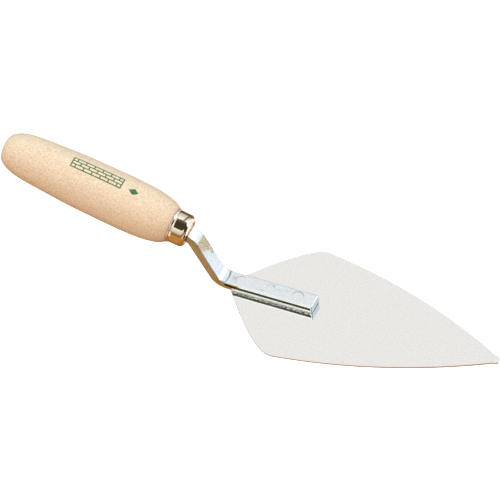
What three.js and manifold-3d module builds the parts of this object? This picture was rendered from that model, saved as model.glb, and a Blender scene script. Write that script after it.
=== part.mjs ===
// Brick trowel, pointing pattern: a flat steel blade, a bent steel shank spot-welded to it,
// a brass ferrule and a turned beech handle.
//
// Millimetres, +Z up. X runs along the blade from heel to tip and Y runs across it.
// The blade lies flat with its underside at Z = 0. The drawing is made from the heel, at X = 0, and
// the last step moves it so that the origin is below the middle of the whole trowel.

import * as THREE from 'three';
import Module from 'manifold-3d';
import { mergeVertices } from 'three/addons/utils/BufferGeometryUtils.js';

// ---------------------------------------------------------------- driving dimensions

const BLADE_LENGTH = 174.5;         // heel to rounded tip
const BLADE_THICKNESS = 1;
const HEEL_HALF_WIDTH = 5.3;
const SHOULDER_CORNER_X = 32.7;     // where the heel edge and the side edge would meet unrounded
const SHOULDER_CORNER_Y = 45.4;
const SHOULDER_END_X = 44.6;        // where the shoulder curve runs into the side edge
const SHOULDER_END_Y = 43.8;
const SIDE_RADIUS = 375;            // long bow of each side edge
const TIP_RADIUS = 3.4;

const BAR_WIDTH = 10.2;
const BAR_THICKNESS = 6;
const BAR_EDGE_RADIUS = 1.1;        // rounding along the four long edges
const FOOT_END_X = 54.5;            // front end of the stretch that lies on the blade
const LOWER_BEND_X = -2.9;          // where the foot stops and the bar turns up
const LOWER_BEND_RADIUS = 6;        // inside radius
const INCLINE_ANGLE = THREE.MathUtils.degToRad(65.5);
const INCLINE_LENGTH = 26.6;        // straight stretch between the two bends
const UPPER_BEND_RADIUS = 8;        // inside radius
const TANG_LENGTH = 55;             // inside the handle
const TANG_ROOT_SIDE = 5.4;         // square section where it leaves the bar
const TANG_END_SIDE = 3.2;

const HANDLE_TILT = THREE.MathUtils.degToRad(15.1);
const HANDLE_LENGTH = 115.2;
const HANDLE_RADIUS = 16.6;
const NECK_LENGTH = 8.2;            // from the end of the upper bend to the handle's front shoulder
const TENON_RADIUS = 9.1;           // turned front of the handle, inside the ferrule
const TENON_LENGTH = 4.8;
const BORE_DEPTH = 58;              // blind hole for the tang, from the handle's front shoulder

const FERRULE_LENGTH = 11.5;
const FERRULE_BACK_RADIUS = 10.7;
const FERRULE_FRONT_RADIUS = 10.4;
const FERRULE_BEAD_RADIUS = 0.5;    // rolled lip at the back
const FERRULE_NOSE_RADIUS = 3.4;    // rounding between the side and the front face
const FERRULE_WALL = 0.8;

const WELD_RADIUS = 2.5;
const WELD_HALF_HEIGHT = 0.5;       // how far a weld reaches into the blade and into the bar
const WELD_POSITIONS = { heel: 5, middle: 24, front: 43 };      // along the foot, from the heel

const GAP = 0.35;                   // between neighbours that do not meet on a flat face

// ---------------------------------------------------------------- shared helpers

const wasm = await Module();
wasm.setup();

// A closed geometry as a solid, for joining and cutting. The triangles that a turned shape has at
// its axis shrink to nothing when their corners are merged, and are dropped.
function solidFrom(geometry) {
  const bare = geometry.clone();
  bare.deleteAttribute('normal');
  bare.deleteAttribute('uv');
  const merged = mergeVertices(bare, 1e-4);
  const corners = merged.index.array;
  const kept = [];
  for (let i = 0; i < corners.length; i += 3) {
    const [a, b, c] = corners.slice(i, i + 3);
    if (a !== b && b !== c && c !== a) {
      kept.push(a, b, c);
    }
  }
  const vertProperties = new Float32Array(merged.attributes.position.array);
  const triVerts = new Uint32Array(kept);
  return new wasm.Manifold(new wasm.Mesh({ numProp: 3, vertProperties, triVerts }));
}

// A solid back as a geometry, with flat-shaded faces.
function geometryFrom(solid) {
  const mesh = solid.getMesh();
  const geometry = new THREE.BufferGeometry();
  geometry.setAttribute('position', new THREE.BufferAttribute(mesh.vertProperties, 3));
  geometry.setIndex(new THREE.BufferAttribute(mesh.triVerts, 1));
  geometry.computeVertexNormals();
  return geometry;
}

function piece(name, geometry, look) {
  const mesh = new THREE.Mesh(geometry, new THREE.MeshStandardMaterial(look));
  mesh.name = name;
  return mesh;
}

// The point at a given distance from a centre, in the direction of an angle.
function polar(centre, distance, angle) {
  return new THREE.Vector2(
    centre.x + distance * Math.cos(angle),
    centre.y + distance * Math.sin(angle),
  );
}

// ---------------------------------------------------------------- the shank's centre line
//
// Seen from the side the bar is flat on the blade, turns up through the lower bend, climbs the
// incline, turns back through the upper bend and runs along the handle's axis.

const footTop = BLADE_THICKNESS + BAR_THICKNESS;
const lowerCentre = new THREE.Vector2(LOWER_BEND_X, footTop + LOWER_BEND_RADIUS);
const inclineNormal = Math.PI / 2 - INCLINE_ANGLE;      // points up and forward, away from the incline
const handleNormal = Math.PI / 2 - HANDLE_TILT;         // points up and forward, away from the handle
const upperOuterRadius = UPPER_BEND_RADIUS + BAR_THICKNESS;

const inclineStart = polar(lowerCentre, -LOWER_BEND_RADIUS, inclineNormal);
const inclineEnd = polar(inclineStart, INCLINE_LENGTH, Math.PI - INCLINE_ANGLE);
const upperCentre = polar(inclineEnd, -upperOuterRadius, inclineNormal);
const neckStart = polar(upperCentre, UPPER_BEND_RADIUS + BAR_THICKNESS / 2, handleNormal);
const handleFront = polar(neckStart, NECK_LENGTH, Math.PI - HANDLE_TILT);

// ---------------------------------------------------------------- welds
//
// Three resistance welds join the bar's foot to the blade. Each is a round nugget of fused metal,
// hidden between the two.

function weldSites() {
  return Object.entries(WELD_POSITIONS).map(([place, x]) => ({ name: `weld_${place}`, x }));
}

function weldCylinder(x, radius) {
  const geometry = new THREE.CylinderGeometry(radius, radius, 2 * WELD_HALF_HEIGHT, 24);
  geometry.rotateX(Math.PI / 2);
  geometry.translate(x, 0, BLADE_THICKNESS);
  return geometry;
}

// Leaves a pocket round each weld, half in the blade and half in the bar.
function withoutWelds(solid) {
  return weldSites().reduce(
    (rest, site) => rest.subtract(solidFrom(weldCylinder(site.x, WELD_RADIUS + GAP))),
    solid,
  );
}

function makeWelds() {
  const look = { color: 0x9a9c9e, roughness: 0.5, metalness: 1 };
  return weldSites().map((site) => piece(site.name, weldCylinder(site.x, WELD_RADIUS), look));
}

// ---------------------------------------------------------------- blade

// A narrow heel, edges that curve out to the shoulders, long bowed sides and a small round tip.
function bladeOutline() {
  const shoulder = new THREE.Vector2(SHOULDER_END_X, SHOULDER_END_Y);
  const slope = new THREE.Vector2(SHOULDER_END_X - SHOULDER_CORNER_X, SHOULDER_END_Y - SHOULDER_CORNER_Y);
  const shoulderNormal = slope.angle() + Math.PI / 2;
  const sideCentre = polar(shoulder, -SIDE_RADIUS, shoulderNormal);

  // The tip's circle lies on the centre line and touches the side arc from inside.
  const tipCentre = new THREE.Vector2(BLADE_LENGTH - TIP_RADIUS, 0);
  const tipAngle = Math.asin(-sideCentre.y / (SIDE_RADIUS - TIP_RADIUS));

  const outline = new THREE.Shape();
  outline.moveTo(0, -HEEL_HALF_WIDTH);
  outline.quadraticCurveTo(SHOULDER_CORNER_X, -SHOULDER_CORNER_Y, SHOULDER_END_X, -SHOULDER_END_Y);
  outline.absarc(sideCentre.x, -sideCentre.y, SIDE_RADIUS, -shoulderNormal, -tipAngle, false);
  outline.absarc(tipCentre.x, 0, TIP_RADIUS, -tipAngle, tipAngle, false);
  outline.absarc(sideCentre.x, sideCentre.y, SIDE_RADIUS, tipAngle, shoulderNormal, false);
  outline.quadraticCurveTo(SHOULDER_CORNER_X, SHOULDER_CORNER_Y, 0, HEEL_HALF_WIDTH);
  outline.closePath();
  return outline;
}

function makeBlade() {
  const geometry = new THREE.ExtrudeGeometry(bladeOutline(), {
    depth: BLADE_THICKNESS,
    bevelEnabled: false,
    curveSegments: 16,
  });
  const look = { color: 0xe4e2e0, roughness: 0.25, metalness: 1 };
  return piece('blade', geometryFrom(withoutWelds(solidFrom(geometry))), look);
}

// ---------------------------------------------------------------- shank

// Side view of the bar from the front of the foot to the end of the neck.
function barOutline() {
  const neckEnd = polar(neckStart, NECK_LENGTH - TENON_LENGTH - GAP, Math.PI - HANDLE_TILT);
  const neckTop = polar(neckEnd, BAR_THICKNESS / 2, handleNormal);
  const neckBottom = polar(neckEnd, -BAR_THICKNESS / 2, handleNormal);
  const lowerOuterRadius = LOWER_BEND_RADIUS + BAR_THICKNESS;
  const down = -Math.PI / 2;

  const outline = new THREE.Shape();
  outline.moveTo(FOOT_END_X, BLADE_THICKNESS);
  outline.lineTo(FOOT_END_X, footTop);
  outline.absarc(lowerCentre.x, lowerCentre.y, LOWER_BEND_RADIUS, down, inclineNormal - Math.PI, true);
  outline.absarc(upperCentre.x, upperCentre.y, upperOuterRadius, inclineNormal, handleNormal, false);
  outline.lineTo(neckTop.x, neckTop.y);
  outline.lineTo(neckBottom.x, neckBottom.y);
  outline.absarc(upperCentre.x, upperCentre.y, UPPER_BEND_RADIUS, handleNormal, inclineNormal, true);
  outline.absarc(lowerCentre.x, lowerCentre.y, lowerOuterRadius, inclineNormal - Math.PI, down, false);
  outline.closePath();
  return outline;
}

function barSolid() {
  const geometry = new THREE.ExtrudeGeometry(barOutline(), {
    depth: BAR_WIDTH - 2 * BAR_EDGE_RADIUS,
    bevelSize: BAR_EDGE_RADIUS,
    bevelOffset: -BAR_EDGE_RADIUS,
    bevelThickness: BAR_EDGE_RADIUS,
    bevelSegments: 3,
    curveSegments: 8,
  });
  geometry.translate(0, 0, BAR_EDGE_RADIUS - BAR_WIDTH / 2);
  geometry.rotateX(Math.PI / 2);
  return solidFrom(geometry);
}

// A square spike along the handle's axis, thinner towards the butt.
function tangSolid() {
  const rootInsideBar = 2;
  const length = TENON_LENGTH + GAP + TANG_LENGTH + rootInsideBar;
  const geometry = new THREE.CylinderGeometry(
    TANG_END_SIDE / Math.SQRT2,
    TANG_ROOT_SIDE / Math.SQRT2,
    length,
    4,
  );
  geometry.rotateY(Math.PI / 4);
  geometry.translate(0, length / 2 - TENON_LENGTH - GAP - rootInsideBar, 0);
  geometry.applyMatrix4(handleFrame());
  return solidFrom(geometry);
}

function makeShank() {
  const look = { color: 0xdde4e8, roughness: 0.35, metalness: 1 };
  return piece('shank', geometryFrom(withoutWelds(barSolid().add(tangSolid()))), look);
}

// ---------------------------------------------------------------- handle and ferrule
//
// Both are turned about the handle's own axis. In their frame Y runs from the handle's front
// shoulder, at 0, to the butt, X points up, square to the axis, and Z points across the trowel.

function handleFrame() {
  const up = new THREE.Vector3(Math.cos(handleNormal), 0, Math.sin(handleNormal));
  const toButt = new THREE.Vector3(-Math.cos(HANDLE_TILT), 0, Math.sin(HANDLE_TILT));
  const across = new THREE.Vector3().crossVectors(up, toButt);
  const frame = new THREE.Matrix4().makeBasis(up, toButt, across);
  frame.setPosition(handleFront.x, 0, handleFront.y);
  return frame;
}

// Barrel-shaped, fullest a third of the way back, with a tenon and a tapered blind bore in front.
function handleProfile() {
  const outside = new THREE.SplineCurve([
    new THREE.Vector2(11.5, 0.4),
    new THREE.Vector2(13.3, 3.3),
    new THREE.Vector2(14.7, 8),
    new THREE.Vector2(16, 16),
    new THREE.Vector2(HANDLE_RADIUS, 28),
    new THREE.Vector2(HANDLE_RADIUS, 45),
    new THREE.Vector2(16.2, 65),
    new THREE.Vector2(15.1, 86),
    new THREE.Vector2(14.1, 98.5),
    new THREE.Vector2(12.6, 106),
    new THREE.Vector2(10.5, 110.8),
    new THREE.Vector2(8, 113.6),
    new THREE.Vector2(4, 114.9),
    new THREE.Vector2(0, HANDLE_LENGTH),
  ]);
  const boreFrontRadius = TANG_ROOT_SIDE / Math.SQRT2 + GAP;
  const boreEndRadius = TANG_END_SIDE / Math.SQRT2 + GAP;
  return [
    new THREE.Vector2(0, BORE_DEPTH),
    new THREE.Vector2(boreEndRadius, BORE_DEPTH),
    new THREE.Vector2(boreFrontRadius, -TENON_LENGTH),
    new THREE.Vector2(TENON_RADIUS, -TENON_LENGTH),
    new THREE.Vector2(TENON_RADIUS, 0),
    new THREE.Vector2(FERRULE_BACK_RADIUS, 0),
    ...outside.getPoints(32),
  ];
}

function makeHandle() {
  const look = { color: 0xf0d2b4, roughness: 0.55, metalness: 0 };
  return piece('handle', new THREE.LatheGeometry(handleProfile(), 36), look);
}

// A thin cup: flat front face, rounded nose, slightly flared side and a rolled lip at the back.
function ferruleProfile() {
  const noseX = FERRULE_FRONT_RADIUS - FERRULE_NOSE_RADIUS;
  const noseY = FERRULE_NOSE_RADIUS - FERRULE_LENGTH;
  const innerRadius = FERRULE_FRONT_RADIUS - FERRULE_WALL;
  const down = -Math.PI / 2;

  const profile = new THREE.Path();
  profile.moveTo(0, -FERRULE_LENGTH);
  profile.lineTo(noseX, -FERRULE_LENGTH);
  profile.absarc(noseX, noseY, FERRULE_NOSE_RADIUS, down, 0, false);
  profile.absarc(FERRULE_BACK_RADIUS, -GAP - FERRULE_BEAD_RADIUS, FERRULE_BEAD_RADIUS, down, -down, false);
  profile.lineTo(innerRadius, -GAP);
  profile.absarc(noseX, noseY, FERRULE_NOSE_RADIUS - FERRULE_WALL, 0, down, true);
  profile.lineTo(0, FERRULE_WALL - FERRULE_LENGTH);
  return profile.getPoints(3);
}

// How far a surface of the upper bend lies above the handle's axis, at a given distance along the
// axis from where the bend starts.
function bendHeight(surfaceRadius, distance) {
  const axisRadius = UPPER_BEND_RADIUS + BAR_THICKNESS / 2;
  return Math.sqrt(surfaceRadius ** 2 - distance ** 2) - axisRadius;
}

// The cup's front wall is open where the bar, already bending, comes out of it.
function slotForBar() {
  const outerFace = FERRULE_LENGTH - NECK_LENGTH;
  const innerFace = outerFace - FERRULE_WALL;
  const clearance = 1.5 * GAP;
  const top = bendHeight(upperOuterRadius, innerFace) + clearance;
  const bottom = bendHeight(UPPER_BEND_RADIUS, outerFace) - clearance;
  const geometry = new THREE.BoxGeometry(top - bottom, 3 * FERRULE_WALL, BAR_WIDTH + 2 * GAP);
  geometry.translate((top + bottom) / 2, FERRULE_WALL / 2 - FERRULE_LENGTH, 0);
  return solidFrom(geometry);
}

function makeFerrule() {
  const look = { color: 0xe3c79a, roughness: 0.12, metalness: 1 };
  const cup = solidFrom(new THREE.LatheGeometry(ferruleProfile(), 36));
  return piece('ferrule', geometryFrom(cup.subtract(slotForBar())), look);
}

// ---------------------------------------------------------------- assembly

const turned = new THREE.Group();
turned.applyMatrix4(handleFrame());
turned.add(makeFerrule(), makeHandle());

const trowel = new THREE.Group();
trowel.add(makeBlade(), makeShank(), ...makeWelds(), turned);

const middle = new THREE.Box3().setFromObject(trowel, true).getCenter(new THREE.Vector3());
trowel.position.x = -middle.x;

export default trowel;
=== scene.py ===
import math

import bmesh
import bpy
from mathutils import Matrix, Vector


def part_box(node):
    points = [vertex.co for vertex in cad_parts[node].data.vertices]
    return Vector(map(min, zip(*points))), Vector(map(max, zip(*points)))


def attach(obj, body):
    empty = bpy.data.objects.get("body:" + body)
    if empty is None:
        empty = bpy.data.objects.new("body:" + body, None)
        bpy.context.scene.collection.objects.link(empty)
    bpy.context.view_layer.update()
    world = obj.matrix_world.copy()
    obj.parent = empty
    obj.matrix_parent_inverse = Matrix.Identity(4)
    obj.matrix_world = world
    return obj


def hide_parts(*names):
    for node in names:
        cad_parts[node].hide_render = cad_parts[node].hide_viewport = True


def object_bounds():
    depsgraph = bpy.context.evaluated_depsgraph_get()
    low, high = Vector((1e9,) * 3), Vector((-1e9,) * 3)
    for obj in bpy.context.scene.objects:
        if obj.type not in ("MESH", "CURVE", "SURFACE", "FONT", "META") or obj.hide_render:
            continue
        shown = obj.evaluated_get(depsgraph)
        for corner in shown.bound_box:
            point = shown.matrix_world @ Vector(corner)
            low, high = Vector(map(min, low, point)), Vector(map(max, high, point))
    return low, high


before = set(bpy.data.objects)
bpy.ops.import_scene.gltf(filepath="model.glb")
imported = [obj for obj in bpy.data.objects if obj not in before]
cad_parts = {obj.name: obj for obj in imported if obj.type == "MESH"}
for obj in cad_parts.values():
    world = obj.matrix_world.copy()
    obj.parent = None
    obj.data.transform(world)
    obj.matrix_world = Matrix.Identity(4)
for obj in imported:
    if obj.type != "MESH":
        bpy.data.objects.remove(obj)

# Brick trowel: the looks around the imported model. Every piece of the CAD model is replaced by a finer
# mesh of the same size in the same place, with a procedural material.
#
# Shapes are drawn in millimetres from the blade's heel, as the CAD drawing is: X runs from the heel to
# the tip, Y across the blade and Z up. The near side is the one towards -Y.

CAD_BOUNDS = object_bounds()

MM = 0.001
HEEL = Vector((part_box("blade")[0].x, 0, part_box("blade")[0].z))


def placed(x, y, z):
    """A drawn point in metres, in the row frame."""
    return HEEL + Vector((x, y, z)) * MM


def drawn_box(node):
    """A CAD node's lowest and highest corners as drawn points."""
    low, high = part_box(node)
    return (low - HEEL) / MM, (high - HEEL) / MM


BLADE_HIGH = drawn_box("blade")[1]
SHANK_HIGH = drawn_box("shank")[1]

# ---------------------------------------------------------------- dimensions, in millimetres

BLADE_LENGTH = BLADE_HIGH.x
BLADE_TRIM = 0.03               # keeps the finer curves of the blade inside the CAD's facets
BLADE_THICKNESS = BLADE_HIGH.z
BLADE_EDGE = 0.14               # rounding of the blade's rim
DENT_RADIUS = 3.1               # left in the underside by the lower welding electrode
DENT_DEPTH = 0.22
HEEL_HALF_WIDTH = 5.3
SHOULDER_CORNER = Vector((32.7, 45.4))
SHOULDER_END = Vector((44.6, 43.8))
SIDE_RADIUS = 375
TIP_RADIUS = 3.4

BAR_THICKNESS = 6
BAR_HALF_WIDTH = SHANK_HIGH.y
BAR_EDGE_RADIUS = 0.6
FOOT_END_X = SHANK_HIGH.x
FOOT_END_ROUNDING = 0.5
LOWER_BEND_X = -2.9
LOWER_BEND_RADIUS = 6
INCLINE_ANGLE = math.radians(65.5)
INCLINE_LENGTH = 26.6
UPPER_BEND_RADIUS = 8
TANG_LENGTH = 55
TANG_ROOT_SIDE = 5.4
TANG_END_SIDE = 3.2

HANDLE_TILT = math.radians(15.1)
HANDLE_LENGTH = 115.15          # this and the radius keep the handle just inside the CAD's box
HANDLE_RADIUS = 16.58
NECK_LENGTH = 8.2
TENON_RADIUS = 9.1
TENON_LENGTH = 4.8
BORE_DEPTH = 58

FERRULE_LENGTH = 11.5
FERRULE_BACK_RADIUS = 10.7
FERRULE_FRONT_RADIUS = 10.4
FERRULE_LIP_RADIUS = 0.5
FERRULE_NOSE_RADIUS = 3.4
FERRULE_WALL = 0.8

WELD_RADIUS = 2.5
WELD_HALF_HEIGHT = 0.5
GAP = 0.35
LIP_GAP = 0.08                  # between the ferrule's lip and the handle's front shoulder
SLOT_CLEARANCE = 0.12           # between the bar and the slot in the ferrule
CUT_BEYOND = 1                  # how far a cutter runs past the face that it cuts

# how finely each stretch is drawn
SHOULDER_STEPS = 60
SIDE_STEPS = 90
TIP_STEPS = 12
RIM_STEPS = 4
CIRCLE_STEPS = 48               # round a weld pocket or a dent
DENT_STEPS = 10
FOOT_END_STEPS = 8
FOOT_STEPS = 380                # fine enough for the crease and the electrode prints
LOWER_BEND_STEPS = 80
INCLINE_STEPS = 60
UPPER_BEND_STEPS = 60
TOP_STRIPS = 48
SIDE_STRIPS = 8
BOTTOM_STRIPS = 12
CORNER_STRIPS = 12
HANDLE_STEPS = 160
HANDLE_SIDES = 144
FERRULE_STEPS = 8
FERRULE_SIDES = 128
NOSE_STEPS = 24
NOSE_INSIDE_STEPS = 12
LIP_STEPS = 12
SLOT_CORNER_STEPS = 6
WELD_STEPS = 14
WELD_SIDES = 40


def middle_x(node):
    low, high = drawn_box(node)
    return (low.x + high.x) / 2


WELD_NAMES = ("weld_heel", "weld_middle", "weld_front")
WELD_X = [middle_x(name) for name in WELD_NAMES]

# ---------------------------------------------------------------- mesh helpers


def mesh_piece(name, vertices, faces, smooth=True):
    """A mesh object in metres from faces over points in metres, with its normals pointing out."""
    mesh = bpy.data.meshes.new(name)
    mesh.from_pydata([tuple(v) for v in vertices], [], faces)
    work = bmesh.new()
    work.from_mesh(mesh)
    bmesh.ops.remove_doubles(work, verts=work.verts, dist=1e-7)
    bmesh.ops.recalc_face_normals(work, faces=work.faces)
    for face in work.faces:
        face.smooth = smooth
    work.to_mesh(mesh)
    work.free()
    piece = bpy.data.objects.new(name, mesh)
    bpy.context.scene.collection.objects.link(piece)
    return piece


def skin(rings):
    """Points and faces over rings with the same number of points each, closed at both ends."""
    count = len(rings[0])
    last = (len(rings) - 1) * count
    faces = []
    for here in range(0, last, count):
        there = here + count
        for k in range(count):
            after = (k + 1) % count
            faces.append((here + k, here + after, there + after, there + k))
    faces.append(tuple(range(count)))
    faces.append(tuple(range(last, last + count)))
    points = [point for ring in rings for point in ring]
    return points, faces


def carve(piece, points, faces):
    """Takes a closed shape away from a piece."""
    cutter = mesh_piece(piece.name + "_cut", points, faces)
    cut = piece.modifiers.new("cut", "BOOLEAN")
    cut.object = cutter
    cut.operation = "DIFFERENCE"
    cut.solver = "EXACT"
    settle(piece)
    bpy.data.objects.remove(cutter)


def settle(piece):
    """Applies a piece's modifiers to its mesh."""
    bpy.context.view_layer.update()
    evaluated = piece.evaluated_get(bpy.context.evaluated_depsgraph_get())
    mesh = bpy.data.meshes.new_from_object(evaluated)
    piece.modifiers.clear()
    piece.data = mesh


def flatten_flat_faces(piece, directions, tolerance=0.9999):
    """Shades faces flat that look straight along one of the directions, so that they mirror true."""
    for polygon in piece.data.polygons:
        if any(polygon.normal.dot(direction) > tolerance for direction in directions):
            polygon.use_smooth = False


def polar(centre, distance, angle):
    return centre + Vector((math.cos(angle), math.sin(angle))) * distance


def arc(centre, radius, start, end, steps):
    return [polar(centre, radius, start + (end - start) * i / steps) for i in range(steps + 1)]


def spline(points, steps):
    """Points on a smooth curve through the given ones: Catmull-Rom with even knots, as in the CAD."""
    result = []
    last = len(points) - 1
    for i in range(steps + 1):
        place = last * i / steps
        k = min(int(place), last - 1)
        t = place - k
        p = [points[max(k - 1, 0)], points[k], points[k + 1], points[min(k + 2, last)]]
        result.append(0.5 * (2 * p[1] + (p[2] - p[0]) * t
                             + (2 * p[0] - 5 * p[1] + 4 * p[2] - p[3]) * t * t
                             + (3 * p[1] - p[0] - 3 * p[2] + p[3]) * t ** 3))
    return result


def bump_at(value, centre, width):
    """A smooth hill of height 1."""
    return math.exp(-((value - centre) / width) ** 2)


# ---------------------------------------------------------------- the shank's centre line

FOOT_TOP = BLADE_THICKNESS + BAR_THICKNESS
HALF_THICKNESS = BAR_THICKNESS / 2
LOWER_CENTRE = Vector((LOWER_BEND_X, FOOT_TOP + LOWER_BEND_RADIUS))
UP = math.pi / 2
INCLINE_NORMAL = UP - INCLINE_ANGLE
HANDLE_NORMAL = UP - HANDLE_TILT
UPHILL = math.pi - INCLINE_ANGLE
TO_BUTT = math.pi - HANDLE_TILT
INCLINE_START = polar(LOWER_CENTRE, -LOWER_BEND_RADIUS, INCLINE_NORMAL)
INCLINE_END = polar(INCLINE_START, INCLINE_LENGTH, UPHILL)
UPPER_CENTRE = polar(INCLINE_END, -(UPPER_BEND_RADIUS + BAR_THICKNESS), INCLINE_NORMAL)
NECK_START = polar(UPPER_CENTRE, UPPER_BEND_RADIUS + HALF_THICKNESS, HANDLE_NORMAL)
HANDLE_FRONT = polar(NECK_START, NECK_LENGTH, TO_BUTT)

# ---------------------------------------------------------------- blade


def blade_outline(inset):
    """The blade's edge seen from above, counter-clockwise from the heel, moved in by the inset."""
    slope = SHOULDER_END - SHOULDER_CORNER
    shoulder_normal = math.atan2(slope.y, slope.x) + UP
    side_centre = polar(SHOULDER_END, -SIDE_RADIUS, shoulder_normal)
    tip_centre = Vector((BLADE_LENGTH - TIP_RADIUS, 0))
    tip_angle = math.asin(-side_centre.y / (SIDE_RADIUS - TIP_RADIUS))

    upper = []
    heel = Vector((0, HEEL_HALF_WIDTH))
    for i in range(SHOULDER_STEPS + 1):
        t = i / SHOULDER_STEPS
        point = heel * (1 - t) ** 2 + SHOULDER_CORNER * 2 * t * (1 - t) + SHOULDER_END * t * t
        along = (SHOULDER_CORNER - heel) * (1 - t) + (SHOULDER_END - SHOULDER_CORNER) * t
        along.normalize()
        upper.append(point - Vector((-along.y, along.x)) * (inset + BLADE_TRIM))
    side_radius = SIDE_RADIUS - inset - BLADE_TRIM
    upper += arc(side_centre, side_radius, shoulder_normal, tip_angle, SIDE_STEPS)[1:]
    upper += arc(tip_centre, TIP_RADIUS - inset, tip_angle, 0, TIP_STEPS)[1:]
    upper[0].x = inset
    lower = [Vector((p.x, -p.y)) for p in reversed(upper[:-1])]
    return upper + lower


def make_blade():
    """The flat blade, with a pocket above and a dent below at each weld."""
    rings = []
    for inset, height in rim_profile():
        rings.append([placed(p.x, p.y, height) for p in blade_outline(inset)])
    blade = mesh_piece("blade_plate", *skin(rings))
    pocket_floor = BLADE_THICKNESS - WELD_HALF_HEIGHT
    for x in WELD_X:
        carve(blade, *disc(x, WELD_RADIUS + GAP, pocket_floor, BLADE_THICKNESS + CUT_BEYOND))
        carve(blade, *dent(x, DENT_RADIUS, DENT_DEPTH))
    flatten_flat_faces(blade, (Vector((0, 0, 1)), Vector((0, 0, -1))))
    return blade


def rim_profile():
    """Inset and height up the blade's rim: rounded below, plain, rounded above."""
    profile = []
    for i in range(RIM_STEPS + 1):
        angle = UP * i / RIM_STEPS
        profile.append((BLADE_EDGE * (1 - math.sin(angle)), BLADE_EDGE * (1 - math.cos(angle))))
    top = [(inset, BLADE_THICKNESS - height) for inset, height in reversed(profile)]
    return profile + top


def circle(x, radius, height):
    """A level ring of points round a place on the blade's centre line."""
    around = arc(Vector((0, 0)), radius, 0, 2 * math.pi, CIRCLE_STEPS)[:-1]
    return [placed(x + p.x, p.y, height) for p in around]


def disc(x, radius, low, high):
    """An upright cylinder."""
    return skin([circle(x, radius, low), circle(x, radius, high)])


def dent(x, radius, depth):
    """A shallow cap of a ball that reaches up into the blade from below."""
    ball = (radius * radius + depth * depth) / (2 * depth)
    past_the_face = 1.2
    reach = math.asin(radius / ball) * past_the_face
    rings = []
    for i in range(1, DENT_STEPS + 1):
        angle = reach * i / DENT_STEPS
        rings.append(circle(x, ball * math.sin(angle), ball * math.cos(angle) - (ball - depth)))
    return skin(rings)


# ---------------------------------------------------------------- shank

CREASE_X = -4.2                 # where the crease of the lower bend meets the bar's sides
CREASE_BOW = 1.0                # how far its middle lies in front of that
CREASE_WIDTH = 0.28
CREASE_DEPTH = 0.22
CREASE_DARKENING = 0.95              # how dark the crease is
CREASE_DARKENING_SPREAD = 1.6        # how much wider its darkening is than the crease itself
MARKS_START_X = 3 * CREASE_X    # the upper face is marked in front of this
RING_RADIUS = (3.1, 3.6, 3.7)   # prints of the welding electrode round the welds
RING_WIDTH = 0.22
RING_DEPTH = 0.05
RING_TURN = (2.3, 1.2, 1.6)     # where each print is deepest, as an angle from the foot's length
RING_SHARE = (0.8, 0.35, 1.0)   # how strong each print is
RING_UNEVEN = 0.4               # half the change in its depth round it
RING_DISH = 0.02                # depth of the hollow inside a print
RING_DIRT = 0.75                # the dirt in the prints, set like the crease's darkening
RING_DIRT_SPREAD = 1.5
RING_DIRT_UNEVEN = 0.9
SMUDGES = (                     # dull spots on the foot: place, half length, half width and darkness
    (0.4, 0.2, 1.0, 1.5, 0.42),
    (2.2, -2.6, 0.8, 0.9, 0.20),
    (20.3, -2.8, 1.7, 0.45, 0.34),
    (22.6, 1.7, 0.6, 0.7, 0.22),
    (26.0, 2.4, 0.8, 0.9, 0.38),
    (30.6, 1.0, 1.4, 0.55, 0.30),
    (35.2, 1.6, 1.2, 0.6, 0.22),
    (34.0, -2.4, 1.0, 0.5, 0.14),
)
STAINS = (                      # stains on the incline and neck: place, size and darkness
    (Vector((-14.3, 3.0, 22.9)), 1.1, 0.75),
    (Vector((-24.4, -5.2, 37.4)), 1.4, 0.7),
    (Vector((-22.8, -5.2, 36.1)), 1.4, 0.75),
    (Vector((-21.2, -5.2, 34.6)), 1.3, 0.7),
    (Vector((-19.9, -5.2, 33.2)), 1.2, 0.5),
)
SWELL_HEIGHT = 0.2              # the incline's upper face swells a little towards the top
SWELL_LENGTH = 4.5
SWELL_MIDDLE = 15.5
SWELL_FADE = 5                  # it fades out over this length past the incline's ends
BEND_BULGE = 0.6                # how far the squeezed inside of the lower bend stands out sideways
BULGE_LENGTH = 5.5
BULGE_LEAN = 0.65               # how fast it turns into a slight waist towards the lower face
TOP_SKIN = 0.02                 # points this close to a section's top are on the flat upper face
TANG_EDGE = 0.3                 # rounding of the tang's edges
SHOULDER_EDGE = 0.2             # bevel where the bar steps down to the tang


def rounded_section(half_width, half_height, radius):
    """Points round a bar's section as (across, up), from the near top corner across the top."""
    flat_w = half_width - radius
    flat_h = half_height - radius
    corners = [
        (Vector((flat_w, flat_h)), UP, 0),
        (Vector((flat_w, -flat_h)), 0, -UP),
        (Vector((-flat_w, -flat_h)), -UP, -2 * UP),
        (Vector((-flat_w, flat_h)), 2 * UP, UP),
    ]
    strips = (SIDE_STRIPS, BOTTOM_STRIPS, SIDE_STRIPS, TOP_STRIPS)
    points = []
    for (centre, start, end), count, following in zip(corners, strips, corners[1:] + corners[:1]):
        corner = arc(centre, radius, start, end, CORNER_STRIPS)
        points += corner
        target = polar(following[0], radius, following[1])
        for i in range(1, count):
            points.append(corner[-1].lerp(target, i / count))
    return points


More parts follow.
